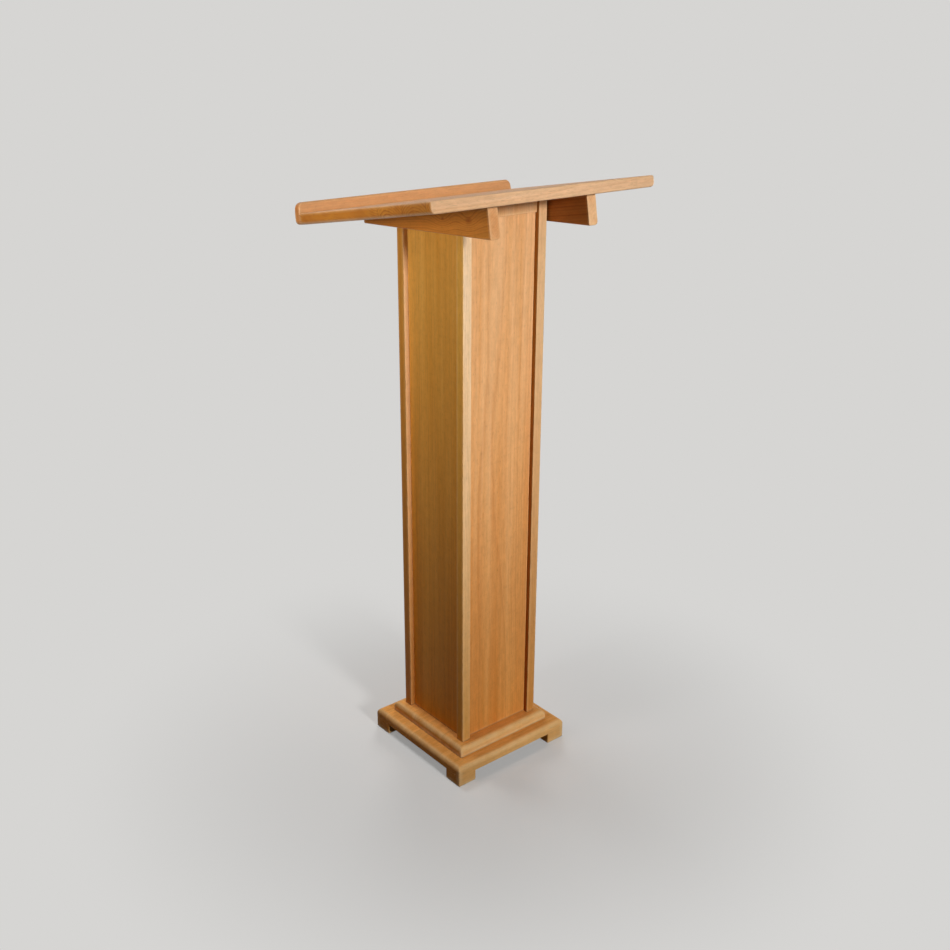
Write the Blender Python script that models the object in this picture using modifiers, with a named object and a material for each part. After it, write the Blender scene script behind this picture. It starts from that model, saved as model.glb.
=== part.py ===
"""Column lectern in solid hardwood.

A sloping desk with a book stop lies on two tapered bearers and on a square box column.
The column is framed: grooved corner posts, stub-tenoned top rails and tongued panels.
It stands on a stepped base of two boards with four corner feet.
"""

import math

import bmesh
import bpy
from mathutils import Matrix, Vector

# Driving dimensions in metres and degrees

SEAT_GAP = 0.0003  # between faces that rest on each other
FIT_GAP = 0.0003  # round a tongue, tenon, dowel or screw in its groove or hole

FOOT_SIDE = 0.045
FOOT_HEIGHT = 0.024
FOOT_EASE = 0.003

PLINTH_MARGIN = 0.0275  # how far the plinth board stands out past the base board
PLINTH_THICK = 0.0205
PLINTH_ROUND = 0.009
BASE_MARGIN = 0.019  # how far the base board stands out past the column
BASE_THICK = 0.0205
BASE_ROUND = 0.0095
BOARD_EASE = 0.003  # upright corners of both base boards

COLUMN_SIDE = 0.200
POST_EASE = 0.0012
PANEL_SETBACK = 0.010  # from the posts' outer faces to the panels' grooves
PANEL_THICK = 0.008
GROOVE_WIDTH = 0.0048
GROOVE_DEPTH = 0.0032
GROOVE_LIP = 0.0052  # wood of a post behind its grooves
RAIL_THICK = 0.013
RAIL_HEIGHT = 0.023
TENON_STEP = 0.002  # between a rail's stub tenon and the groove in its lower edge
CLEAT_THICK = 0.020
CLEAT_HEIGHT = 0.030

DESK_WIDTH = 0.520
DESK_DEPTH = 0.404
DESK_THICK = 0.021
DESK_TILT_DEGREES = 10.0
DESK_FRONT_HEIGHT = 1.190  # floor to the lower front edge, which is the high end of the slope
DESK_OVERHANG = 0.118  # from the column's front face to the lower front edge
DESK_TOP_ROUND = 0.004
DESK_UNDER_ROUND = 0.009
DESK_FRONT_EASE = 0.0025
STOP_THICK = 0.016
STOP_RISE = 0.020
STOP_END_ROUND = 0.013
STOP_UNDER_ROUND = 0.010
STOP_EASE = 0.003

BEARER_THICK = 0.022
BEARER_CLEARANCE = 0.005  # between a bearer and the column's side
BEARER_FRONT_HEIGHT = 0.055
BEARER_TIP_HEIGHT = 0.011
BEARER_FRONT_SETBACK = 0.021  # from the desk's front edge, along the slope
BEARER_BACK_SETBACK = 0.011  # from the desk's back edge, along the slope
BEARER_ROUND = 0.007  # lower edge on the right-hand side of each bearer
BEARER_SMALL_ROUND = 0.0025  # lower edge on the left-hand side
BEARER_EASE = 0.0012  # round the front end

SCREW_RADIUS = 0.0020
SCREW_POINT_LENGTH = 0.0040
SCREW_HEAD_RADIUS = 0.0040
SCREW_HEAD_HEIGHT = 0.0024
SCREW_COVER = 0.006  # wood left beyond the tip of a screw in a board
SCREW_SINK = 0.002  # how deep a head lies below the face that it enters by
POST_SCREW_BITE = 0.040
BASE_SCREW_INSET = 0.040  # from the column's outer faces
CLEAT_GRIP = 0.018  # wood between a cleat screw's head and the desk
CLEAT_SCREW_END = 0.035  # from the cleat's ends
BEARER_GRIP = 0.009  # wood between a bearer screw's head and the desk
BEARER_SCREW_END = 0.040  # from the bearer's ends
DOWEL_RADIUS = 0.004
DOWEL_LENGTH = 0.030
DOWEL_COVER = 0.006  # wood left beyond a dowel in the book stop
DOWEL_CHAMFER = 0.0008
DOWEL_END = 0.060  # from the desk's ends

# Faces round the curves, and tolerances of the modelling

ROUND_STEPS = 4
EASE_STEPS = 2
TURN_STEPS = 12
CUT_PAST = 0.002  # how far a cutter runs out of the wood
MERGE_DISTANCE = 0.00005
NEAR = 0.0001  # how close to a place an edge counts as being there

# Finishes: colour, roughness and metallic value

HONEY_WOOD = ((0.62, 0.36, 0.16), 0.42, 0.0)
PALE_WOOD = ((0.68, 0.43, 0.22), 0.45, 0.0)
WARM_WOOD = ((0.55, 0.29, 0.11), 0.42, 0.0)
INNER_WOOD = ((0.64, 0.42, 0.23), 0.60, 0.0)
SCREW_STEEL = ((0.55, 0.53, 0.48), 0.35, 1.0)

# Places that follow from the driving dimensions

TILT = math.radians(DESK_TILT_DEGREES)
COLUMN_HALF = COLUMN_SIDE / 2
BASE_HALF = COLUMN_HALF + BASE_MARGIN
PLINTH_HALF = BASE_HALF + PLINTH_MARGIN

PLINTH_BOTTOM = FOOT_HEIGHT + SEAT_GAP
PLINTH_TOP = PLINTH_BOTTOM + PLINTH_THICK
BASE_BOTTOM = PLINTH_TOP + SEAT_GAP
BASE_TOP = BASE_BOTTOM + BASE_THICK
COLUMN_BOTTOM = BASE_TOP + SEAT_GAP

DESK_HALF = DESK_WIDTH / 2
DESK_FRONT = -(COLUMN_HALF + DESK_OVERHANG)
STOP_FRONT = DESK_DEPTH + SEAT_GAP
STOP_BACK = STOP_FRONT + STOP_THICK
STOP_TOP = DESK_THICK + STOP_RISE
PLAN_DEPTH = STOP_BACK * math.cos(TILT) + STOP_TOP * math.sin(TILT)
STAND_Y = -DESK_FRONT - PLAN_DEPTH / 2  # centres the whole lectern on the origin

POST_SIDE = PANEL_SETBACK + GROOVE_WIDTH + GROOVE_LIP
POST_INNER = COLUMN_HALF - POST_SIDE
GROOVE_SPAN = (PANEL_SETBACK, PANEL_SETBACK + GROOVE_WIDTH)
TONGUE_SPAN = (GROOVE_SPAN[0] + FIT_GAP, GROOVE_SPAN[1] - FIT_GAP)
TONGUE_THICK = GROOVE_WIDTH - 2 * FIT_GAP
TONGUE_LENGTH = GROOVE_DEPTH - FIT_GAP
RAIL_MIDDLE = PANEL_SETBACK + GROOVE_WIDTH / 2
RAIL_SPAN = (RAIL_MIDDLE - RAIL_THICK / 2, RAIL_MIDDLE + RAIL_THICK / 2)
TENON_SHOULDER = GROOVE_DEPTH + TENON_STEP
WALL_DEPTH = max(RAIL_SPAN[1], TONGUE_SPAN[0] + PANEL_THICK)
CLEAT_OUTER = COLUMN_HALF - WALL_DEPTH - SEAT_GAP
CLEAT_HALF_LENGTH = COLUMN_HALF - max(POST_SIDE, WALL_DEPTH) - SEAT_GAP

BEARER_INNER = COLUMN_HALF + BEARER_CLEARANCE
BEARER_OUTER = BEARER_INNER + BEARER_THICK
BEARER_FRONT = BEARER_FRONT_SETBACK
BEARER_BACK = DESK_DEPTH - BEARER_BACK_SETBACK

CORNERS = {
    "front_left": (-1, -1),
    "front_right": (1, -1),
    "back_left": (-1, 1),
    "back_right": (1, 1),
}
SIDES = {"left": -1, "right": 1}
OUTWARD = {
    "front": Vector((0, -1, 0)),
    "back": Vector((0, 1, 0)),
    "left": Vector((-1, 0, 0)),
    "right": Vector((1, 0, 0)),
}


def desk_underside(y):
    """Height of the desk's underside at a distance y behind the column's axis."""
    return DESK_FRONT_HEIGHT - (y - DESK_FRONT) * math.tan(TILT)


def column_top(y):
    """Height at which a piece of the column ends, just clear of the desk."""
    return desk_underside(y) - SEAT_GAP / math.cos(TILT)


def along_slope(y):
    """Distance down the desk from its front edge to the point over y."""
    return (y - DESK_FRONT) / math.cos(TILT)


def bearer_underside(s):
    """Depth of a bearer's lower edge below the desk, at a distance s down the slope."""
    share = (s - BEARER_FRONT) / (BEARER_BACK - BEARER_FRONT)
    return -(BEARER_FRONT_HEIGHT + share * (BEARER_TIP_HEIGHT - BEARER_FRONT_HEIGHT))


# Modelling helpers


def clear_scene():
    for old in list(bpy.data.objects):
        bpy.data.objects.remove(old, do_unlink=True)


def new_collection(name):
    made = bpy.data.collections.new(name)
    bpy.context.scene.collection.children.link(made)
    return made


def new_empty(name, location, rotation):
    made = bpy.data.objects.new(name, None)
    made.location = location
    made.rotation_euler = rotation
    lectern.objects.link(made)
    return made


def new_finish(name, look):
    colour, roughness, metallic = look
    made = bpy.data.materials.new(name)
    made.use_nodes = True
    made.diffuse_color = (*colour, 1.0)
    shader = made.node_tree.nodes["Principled BSDF"]
    shader.inputs["Base Color"].default_value = (*colour, 1.0)
    shader.inputs["Roughness"].default_value = roughness
    shader.inputs["Metallic"].default_value = metallic
    return made


def new_object(name, shape, parent, location, rotation):
    """Turns a bmesh into an object under a parent empty."""
    mesh = bpy.data.meshes.new(name)
    shape.to_mesh(mesh)
    shape.free()
    made = bpy.data.objects.new(name, mesh)
    made.parent = parent
    made.location = location
    made.rotation_euler = rotation
    return made


def new_piece(name, shape, look, parent, location=(0, 0, 0), rotation=(0, 0, 0)):
    """A named piece of the lectern."""
    piece = new_object(name, shape, parent, location, rotation)
    piece.data.materials.append(new_finish(name + "_finish", look))
    lectern.objects.link(piece)
    return piece


def new_cutter(name, shape, parent, location=(0, 0, 0), rotation=(0, 0, 0)):
    """A tool shape, which is not a piece of the lectern."""
    cutter = new_object(name, shape, parent, location, rotation)
    cutter.hide_render = True
    cutter.display_type = "WIRE"
    cutters.objects.link(cutter)
    return cutter


def cut(piece, cutter):
    boolean = piece.modifiers.new(cutter.name, "BOOLEAN")
    boolean.operation = "DIFFERENCE"
    boolean.solver = "EXACT"
    boolean.object = cutter


def block(plan, bottom, top):
    """A block over a plan of x and y spans, between heights that are fixed or given over y."""
    shape = bmesh.new()
    bmesh.ops.create_cube(shape)
    (x0, x1), (y0, y1) = plan
    for vert in shape.verts:
        height = top if vert.co.z > 0 else bottom
        vert.co.x = x1 if vert.co.x > 0 else x0
        vert.co.y = y1 if vert.co.y > 0 else y0
        vert.co.z = height(vert.co.y) if callable(height) else height
    return shape


def span(direction, near, far):
    """The stretch between two distances from the middle, on the side that direction gives."""
    return sorted((direction * near, direction * far))


def main_axis(direction):
    """The axis that a direction follows most closely."""
    return max("xyz", key=lambda axis: abs(getattr(direction, axis)))


def edges_where(shape, test):
    """The edges that pass a test of their middle and of the axis that they run along."""
    found = []
    for edge in shape.edges:
        first, second = (vert.co for vert in edge.verts)
        if test((first + second) / 2, main_axis(second - first)):
            found.append(edge)
    return found


def round_edges(shape, edges, radius, steps):
    bmesh.ops.bevel(
        shape,
        geom=edges,
        offset=radius,
        offset_type="OFFSET",
        affect="EDGES",
        segments=steps,
        profile=0.5,
        material=-1,
    )


def profile_line(points):
    """A line through (radius, height) points, from the top of a turned shape to its bottom."""
    shape = bmesh.new()
    verts = [shape.verts.new((radius, 0.0, height)) for radius, height in points]
    for pair in zip(verts, verts[1:]):
        shape.edges.new(pair)
    return shape


def turn(piece):
    """Turns a piece's profile about its own axis."""
    screw = piece.modifiers.new("turn", "SCREW")
    screw.axis = "Z"
    screw.angle = math.tau
    screw.steps = TURN_STEPS
    screw.render_steps = TURN_STEPS
    screw.use_merge_vertices = True
    screw.merge_threshold = MERGE_DISTANCE
    screw.use_smooth_shade = True


def screw_profile(length, clearance=0.0):
    """A countersunk wood screw, head down and point up, without the face of its head."""
    shank = SCREW_RADIUS + clearance
    return [
        (0.0, length + clearance),
        (shank, length + clearance - SCREW_POINT_LENGTH),
        (shank, SCREW_HEAD_HEIGHT),
        (SCREW_HEAD_RADIUS + clearance, 0.0),
    ]


def add_screw(name, parent, head_at, length, sink, pieces):
    """Drives a screw upwards from head_at through the pieces, each of which gets its hole."""
    head_face = [(0.0, 0.0)]
    turn(new_piece(name, profile_line(screw_profile(length) + head_face), SCREW_STEEL, parent, head_at))
    mouth_depth = -(sink + CUT_PAST)
    mouth = [(SCREW_HEAD_RADIUS + FIT_GAP, mouth_depth), (0.0, mouth_depth)]
    hole = profile_line(screw_profile(length, FIT_GAP) + mouth)
    hole = new_cutter(name + "_hole", hole, parent, head_at)
    turn(hole)
    for piece in pieces:
        cut(piece, hole)


def dowel_profile(clearance=0.0):
    radius = DOWEL_RADIUS + clearance
    half = DOWEL_LENGTH / 2 + clearance
    return [
        (0.0, half),
        (radius - DOWEL_CHAMFER, half),
        (radius, half - DOWEL_CHAMFER),
        (radius, DOWEL_CHAMFER - half),
        (radius - DOWEL_CHAMFER, -half),
        (0.0, -half),
    ]


clear_scene()
lectern = new_collection("lectern")
cutters = new_collection("lectern_cutters")
stand = new_empty("stand", (0, STAND_Y, 0), (0, 0, 0))
desk = new_empty("desk", (0, STAND_Y + DESK_FRONT, DESK_FRONT_HEIGHT), (-TILT, 0, 0))


# Feet: four square blocks, flush with the corners of the plinth board

foot_half = FOOT_SIDE / 2
foot_centre = PLINTH_HALF - foot_half
feet = {}
for corner, (to_x, to_y) in CORNERS.items():
    shape = block(((-foot_half, foot_half), (-foot_half, foot_half)), 0.0, FOOT_HEIGHT)
    free_edges = edges_where(shape, lambda middle, axis: middle.z < FOOT_HEIGHT - NEAR)
    round_edges(shape, free_edges, FOOT_EASE, EASE_STEPS)
    place = (to_x * foot_centre, to_y * foot_centre, 0)
    feet[corner] = new_piece("foot_" + corner, shape, HONEY_WOOD, stand, place)


# Base: a plinth board and a smaller base board, each with a rounded upper edge


def stepped_board(name, half, bottom, top, radius):
    shape = block(((-half, half), (-half, half)), bottom, top)
    upper = edges_where(shape, lambda middle, axis: middle.z > top - NEAR)
    round_edges(shape, upper, radius, ROUND_STEPS)
    corners = edges_where(shape, lambda middle, axis: abs(abs(middle.x) - abs(middle.y)) < NEAR)
    round_edges(shape, corners, BOARD_EASE, EASE_STEPS)
    return new_piece(name, shape, HONEY_WOOD, stand)


plinth_board = stepped_board("plinth_board", PLINTH_HALF, PLINTH_BOTTOM, PLINTH_TOP, PLINTH_ROUND)
base_board = stepped_board("base_board", BASE_HALF, BASE_BOTTOM, BASE_TOP, BASE_ROUND)


# Column posts: square strips with a groove for a panel in each inner face


def face_block(face, across, inward, bottom, top):
    """A block on a face of the column, between heights that are fixed or given over y.

    across is its span along the face, inward its span from the posts' outer faces.
    """
    direction = sum(OUTWARD[face])
    depth = span(direction, COLUMN_HALF - inward[0], COLUMN_HALF - inward[1])
    plan = (depth, across) if face in SIDES else (across, depth)
    return block(plan, bottom, top)


def groove_top(y):
    return column_top(y) + CUT_PAST


posts = {}
for corner, (to_x, to_y) in CORNERS.items():
    plan = (span(to_x, POST_INNER, COLUMN_HALF), span(to_y, POST_INNER, COLUMN_HALF))
    shape = block(plan, COLUMN_BOTTOM, column_top)
    upright = edges_where(shape, lambda middle, axis: axis == "z")
    round_edges(shape, upright, POST_EASE, EASE_STEPS)
    posts[corner] = new_piece("post_" + corner, shape, PALE_WOOD, stand)
    for face in corner.split("_"):
        toward = to_y if face in SIDES else to_x
        across = span(toward, POST_INNER - CUT_PAST, POST_INNER + GROOVE_DEPTH)
        groove = face_block(face, across, GROOVE_SPAN, COLUMN_BOTTOM - CUT_PAST, groove_top)
        cut(posts[corner], new_cutter(f"groove_{corner}_{face}", groove, stand))


# Top rails: strips between the posts, stub-tenoned into their grooves and grooved below


def rail_underside(face):
    """Height of a rail's lower edge over y: level in front and behind, sloping at the sides."""
    if face in SIDES:
        return lambda y: desk_underside(y) - RAIL_HEIGHT
    outer_face = sum(OUTWARD[face]) * (COLUMN_HALF - RAIL_SPAN[0])
    return lambda y: desk_underside(outer_face) - RAIL_HEIGHT


def add_stub_tenon(shape, end, thick_axis):
    """Steps an end face in to a tenon's section and draws it out to the tenon's length."""
    outward = end.normal.copy()
    heights = [vert.co.z for vert in end.verts]
    height = max(heights) - min(heights)
    shares = [1.0, 1.0, (height - 2 * TENON_SHOULDER) / height]
    shares[thick_axis] = TONGUE_THICK / RAIL_THICK
    stepped = bmesh.ops.extrude_discrete_faces(shape, faces=[end])["faces"][0]
    about_middle = Matrix.Translation(-stepped.calc_center_median())
    bmesh.ops.scale(shape, vec=shares, space=about_middle, verts=stepped.verts)
    drawn = bmesh.ops.extrude_discrete_faces(shape, faces=[stepped])["faces"][0]
    bmesh.ops.translate(shape, vec=outward * (TONGUE_LENGTH + SEAT_GAP), verts=drawn.verts)


rail_half = POST_INNER - SEAT_GAP
groove_half = POST_INNER + GROOVE_DEPTH
rails = {}
for face in OUTWARD:
    long_axis, thick_axis = ("y", 0) if face in SIDES else ("x", 1)
    underside = rail_underside(face)
    shape = face_block(face, (-rail_half, rail_half), RAIL_SPAN, underside, column_top)
    ends = [end for end in shape.faces if main_axis(end.normal) == long_axis]
    for end in ends:
        add_stub_tenon(shape, end, thick_axis)
    rails[face] = new_piece("top_rail_" + face, shape, HONEY_WOOD, stand)
    groove = face_block(
        face,
        (-groove_half, groove_half),
        GROOVE_SPAN,
        lambda y: underside(y) - CUT_PAST,
        lambda y: underside(y) + GROOVE_DEPTH,
    )
    cut(rails[face], new_cutter("rail_groove_" + face, groove, stand))


# Panels: thin boards with a tongue round the edge and a thicker field on the inside

panel_half = POST_INNER + TONGUE_LENGTH
for face, outward in OUTWARD.items():
    underside = rail_underside(face)
    shape = face_block(
        face,
        (-panel_half, panel_half),
        TONGUE_SPAN,
        COLUMN_BOTTOM,
        lambda y: underside(y) + TONGUE_LENGTH,
    )
    field = min(shape.faces, key=lambda side: side.normal.dot(outward))
    rim = TONGUE_LENGTH + SEAT_GAP
    bmesh.ops.inset_region(shape, faces=[field], thickness=rim, use_even_offset=True)
    raised = bmesh.ops.extrude_discrete_faces(shape, faces=[field])["faces"][0]
    bmesh.ops.translate(shape, vec=outward * (TONGUE_THICK - PANEL_THICK), verts=raised.verts)
    new_piece("panel_" + face, shape, HONEY_WOOD, stand)


# Cleats: two strips inside the column's top, glued to the side rails, for the desk's screws


def cleat_underside(y):
    return desk_underside(y) - CLEAT_HEIGHT


cleats = {}
for side, to_x in SIDES.items():
    across = span(to_x, CLEAT_OUTER - CLEAT_THICK, CLEAT_OUTER)
    shape = block((across, (-CLEAT_HALF_LENGTH, CLEAT_HALF_LENGTH)), cleat_underside, column_top)
    cleats[side] = new_piece("desk_cleat_" + side, shape, INNER_WOOD, stand)


# Desk board: edge-glued staves, with rounded ends and an eased front edge


def end_edges(shape, height):
    """The edges that run down the slope at both ends of the desk, at a height."""
    return edges_where(
        shape,
        lambda middle, axis: axis == "y"
        and abs(middle.z - height) < NEAR
        and abs(middle.x) > DESK_HALF - NEAR,
    )


shape = block(((-DESK_HALF, DESK_HALF), (0.0, DESK_DEPTH)), 0.0, DESK_THICK)
round_edges(shape, end_edges(shape, 0.0), DESK_UNDER_ROUND, ROUND_STEPS)
round_edges(shape, end_edges(shape, DESK_THICK), DESK_TOP_ROUND, EASE_STEPS)
front_edges = edges_where(shape, lambda middle, axis: middle.y < NEAR)
round_edges(shape, front_edges, DESK_FRONT_EASE, EASE_STEPS)
desk_board = new_piece("desk_board", shape, PALE_WOOD, desk)


# Book stop: a strip on the reader's edge that stands above the desk, with rounded ends

shape = block(((-DESK_HALF, DESK_HALF), (STOP_FRONT, STOP_BACK)), 0.0, STOP_TOP)
round_edges(shape, end_edges(shape, STOP_TOP), STOP_END_ROUND, ROUND_STEPS)
round_edges(shape, end_edges(shape, 0.0), DESK_UNDER_ROUND, ROUND_STEPS)
lower_back = edges_where(
    shape,
    lambda middle, axis: axis == "x" and middle.z < NEAR and middle.y > STOP_BACK - NEAR,
)
round_edges(shape, lower_back, STOP_UNDER_ROUND, ROUND_STEPS)
upper_rim = edges_where(
    shape,
    lambda middle, axis: axis != "y" and middle.z > STOP_TOP - STOP_END_ROUND,
)
round_edges(shape, upper_rim, STOP_EASE, EASE_STEPS)
book_stop = new_piece("book_stop", shape, WARM_WOOD, desk)


# Bearers: two like tapered cleats under the desk, one on each side of the column


def lower_edges(shape, x):
    """The edge along a bearer's underside that lies at x."""
    return edges_where(
        shape,
        lambda middle, axis: axis == "y"
        and abs(middle.x - x) < NEAR
        and middle.z < -SEAT_GAP - NEAR,
    )


bearers = {}
for side, to_x in SIDES.items():
    left, right = span(to_x, BEARER_INNER, BEARER_OUTER)
    shape = block(((left, right), (BEARER_FRONT, BEARER_BACK)), bearer_underside, -SEAT_GAP)
    round_edges(shape, lower_edges(shape, right), BEARER_ROUND, ROUND_STEPS)
    round_edges(shape, lower_edges(shape, left), BEARER_SMALL_ROUND, EASE_STEPS)
    front_end = edges_where(shape, lambda middle, axis: middle.y < BEARER_FRONT + NEAR)
    round_edges(shape, front_end, BEARER_EASE, EASE_STEPS)
    bearers[side] = new_piece("bearer_" + side, shape, WARM_WOOD, desk)


# Screws through the feet into the plinth, the plinth into the base, and the base into the posts

base_screw_place = COLUMN_HALF - BASE_SCREW_INSET
post_centre = COLUMN_HALF - POST_SIDE / 2
for corner, (to_x, to_y) in CORNERS.items():
    at = (to_x * foot_centre, to_y * foot_centre, SCREW_SINK)
    length = PLINTH_TOP - SCREW_COVER - at[2]
    add_screw("foot_screw_" + corner, stand, at, length, SCREW_SINK, (feet[corner], plinth_board))

    at = (to_x * base_screw_place, to_y * base_screw_place, PLINTH_BOTTOM + SCREW_SINK)
    length = BASE_TOP - SCREW_COVER - at[2]
    add_screw("base_screw_" + corner, stand, at, length, SCREW_SINK, (plinth_board, base_board))

    at = (to_x * post_centre, to_y * post_centre, BASE_BOTTOM + SCREW_SINK)
    length = COLUMN_BOTTOM + POST_SCREW_BITE - at[2]
    add_screw("post_screw_" + corner, stand, at, length, SCREW_SINK, (base_board, posts[corner]))


# Screws square to the desk, up through the cleats and the bearers

bearer_screw_places = {
    "front": BEARER_FRONT + BEARER_SCREW_END,
    "middle": (BEARER_FRONT + BEARER_BACK) / 2,
    "back": BEARER_BACK - BEARER_SCREW_END,
}
for side, to_x in SIDES.items():
    x = to_x * (CLEAT_OUTER - CLEAT_THICK / 2)
    length = CLEAT_GRIP + DESK_THICK - SCREW_COVER
    sink = CLEAT_HEIGHT - CLEAT_GRIP
    for end, to_y in (("front", -1), ("back", 1)):
        at = (x, along_slope(to_y * (CLEAT_HALF_LENGTH - CLEAT_SCREW_END)), -CLEAT_GRIP)
        add_screw(f"desk_screw_{end}_{side}", desk, at, length, sink, (cleats[side], desk_board))

    x = to_x * (BEARER_INNER + BEARER_OUTER) / 2
    length = BEARER_GRIP + DESK_THICK - SCREW_COVER
    for end, s in bearer_screw_places.items():
        at = (x, s, -BEARER_GRIP)
        sink = -bearer_underside(s) - BEARER_GRIP
        add_screw(f"bearer_screw_{end}_{side}", desk, at, length, sink, (bearers[side], desk_board))


# Dowels between the desk's back edge and the book stop

dowel_middle = STOP_BACK - DOWEL_COVER - DOWEL_LENGTH / 2
dowel_places = {"left": DOWEL_END - DESK_HALF, "middle": 0.0, "right": DESK_HALF - DOWEL_END}
down_the_slope = (-math.pi / 2, 0, 0)
for name, x in dowel_places.items():
    at = (x, dowel_middle, DESK_THICK / 2)
    shape = profile_line(dowel_profile())
    turn(new_piece("stop_dowel_" + name, shape, INNER_WOOD, desk, at, down_the_slope))
    shape = profile_line(dowel_profile(FIT_GAP))
    hole = new_cutter(f"stop_dowel_{name}_hole", shape, desk, at, down_the_slope)
    turn(hole)
    cut(desk_board, hole)
    cut(book_stop, hole)
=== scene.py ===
import math

import bmesh
import bpy
from mathutils import Matrix, Vector


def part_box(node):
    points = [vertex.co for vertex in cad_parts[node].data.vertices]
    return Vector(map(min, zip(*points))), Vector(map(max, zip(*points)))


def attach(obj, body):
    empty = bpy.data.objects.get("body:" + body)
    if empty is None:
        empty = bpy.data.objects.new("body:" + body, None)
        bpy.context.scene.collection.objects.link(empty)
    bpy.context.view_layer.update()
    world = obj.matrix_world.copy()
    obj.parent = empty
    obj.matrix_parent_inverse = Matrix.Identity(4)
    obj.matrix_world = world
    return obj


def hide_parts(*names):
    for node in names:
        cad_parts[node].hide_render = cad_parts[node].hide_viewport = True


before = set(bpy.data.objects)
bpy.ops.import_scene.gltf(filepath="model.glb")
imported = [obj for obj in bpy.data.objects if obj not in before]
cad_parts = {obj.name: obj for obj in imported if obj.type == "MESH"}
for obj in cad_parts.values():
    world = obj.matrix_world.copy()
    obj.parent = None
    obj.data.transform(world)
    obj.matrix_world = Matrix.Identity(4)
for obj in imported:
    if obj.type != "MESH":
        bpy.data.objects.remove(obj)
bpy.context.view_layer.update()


# Feet
# Four square blocks of the plinth board's hardwood, with its figure running on into them.
# Each is screwed and glued under a corner of the plinth board, with its free edges eased.

FOOT_EASE = 0.003
EASE_SEGMENTS = 4
SMOOTH_ANGLE = math.radians(32)
CORNERS = ("front_left", "front_right", "back_left", "back_right")


def block(low, high):
    shape = bmesh.new()
    bmesh.ops.create_cube(shape, size=1.0)
    bmesh.ops.scale(shape, vec=high - low, verts=shape.verts)
    bmesh.ops.translate(shape, vec=(low + high) / 2, verts=shape.verts)
    return shape


def main_axis(direction):
    """The axis that a direction follows most closely."""
    return max("xyz", key=lambda axis: abs(getattr(direction, axis)))


def edges_where(shape, test):
    """The edges that pass a test of their middle and of the axis that they run along."""
    found = []
    for edge in shape.edges:
        first, second = (vert.co for vert in edge.verts)
        if test((first + second) / 2, main_axis(second - first)):
            found.append(edge)
    return found


def round_edges(shape, edges, radius, segments):
    bmesh.ops.bevel(
        shape,
        geom=edges,
        offset=radius,
        offset_type="OFFSET",
        affect="EDGES",
        segments=segments,
        profile=0.5,
        material=-1,
    )


SCREW_HEAD = 0.0024
HOLE_PLAY = 0.0003
HOLE_SEGMENTS = 24
MOUTH_PAST = 0.002


def loose_object(shape, name):
    mesh = bpy.data.meshes.new(name)
    shape.to_mesh(mesh)
    shape.free()
    made = bpy.data.objects.new(name, mesh)
    bpy.context.scene.collection.objects.link(made)
    return made


def cut_away(shape, cutter):
    """What is left of a shape when another one is taken from it."""
    blank = loose_object(shape, "blank")
    cutter = loose_object(cutter, "cutter")
    cut = blank.modifiers.new("cut", "BOOLEAN")
    cut.operation = "DIFFERENCE"
    cut.object = cutter
    left_over = bmesh.new()
    left_over.from_mesh(blank.evaluated_get(bpy.context.evaluated_depsgraph_get()).to_mesh())
    for used in (blank, cutter):
        bpy.data.meshes.remove(used.data)
    return left_over


def bore(shape, screw_boxes, mouth):
    """Bores the round holes that screw heads are sunk in, from the height of their mouths upwards."""
    drills = bmesh.new()
    for low, high in screw_boxes:
        radius = (high.x - low.x) / 2 + HOLE_PLAY
        depth = low.z + SCREW_HEAD - mouth
        centre = Vector(((low.x + high.x) / 2, (low.y + high.y) / 2, mouth + depth / 2))
        bmesh.ops.create_cone(
            drills,
            cap_ends=True,
            segments=HOLE_SEGMENTS,
            radius1=radius,
            radius2=radius,
            depth=depth,
            matrix=Matrix.Translation(centre),
        )
    return cut_away(shape, drills)


def add_piece(node, shape, finish, slot):
    """Makes a shape the piece that stands for a node, named for the node and for what it is of."""
    piece = loose_object(shape, node + "_" + slot.split("_")[-1])
    piece.data.shade_smooth()
    piece.data.set_sharp_from_angle(angle=SMOOTH_ANGLE)
    piece.data.materials.append(finish)
    piece.modifiers.new("even_shading", "WEIGHTED_NORMAL").keep_sharp = True
    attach(piece, "root")
    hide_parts(node)


def paint(red, green, blue):
    """A colour as it looks on a screen, from 0 to 255, in the units of a shader."""
    shades = (shade / 255 for shade in (red, green, blue))
    linear = [
        shade / 12.92 if shade <= 0.04045 else ((shade + 0.055) / 1.055) ** 2.4
        for shade in shades
    ]
    return (*linear, 1.0)


def add_node(tree, kind, inputs, **settings):
    """A shader node with its settings, and with inputs that are values or other nodes' sockets."""
    made = tree.nodes.new(kind)
    for name, value in settings.items():
        setattr(made, name, value)
    for name, value in inputs.items():
        if isinstance(value, bpy.types.NodeSocket):
            tree.links.new(value, made.inputs[name])
        else:
            made.inputs[name].default_value = value
    return made


def calculate(tree, operation, *values):
    return add_node(tree, "ShaderNodeMath", dict(enumerate(values)), operation=operation).outputs[0]


def calculate_vector(tree, operation, *values):
    made = add_node(tree, "ShaderNodeVectorMath", dict(enumerate(values)), operation=operation)
    single = operation in ("LENGTH", "DOT_PRODUCT")
    return made.outputs["Value" if single else "Vector"]


def spread(tree, value, low, high, to_low=0.0, to_high=1.0, way="LINEAR"):
    """Stretches a range of values over another one, and stops at its ends."""
    inputs = {"Value": value, "From Min": low, "From Max": high, "To Min": to_low, "To Max": to_high}
    return add_node(tree, "ShaderNodeMapRange", inputs, interpolation_type=way).outputs["Result"]


def mix_colours(tree, share, first, second, blend="MIX"):
    made = add_node(tree, "ShaderNodeMix", {0: share, 6: first, 7: second}, data_type="RGBA")
    made.blend_type = blend
    return made.outputs[2]


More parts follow.
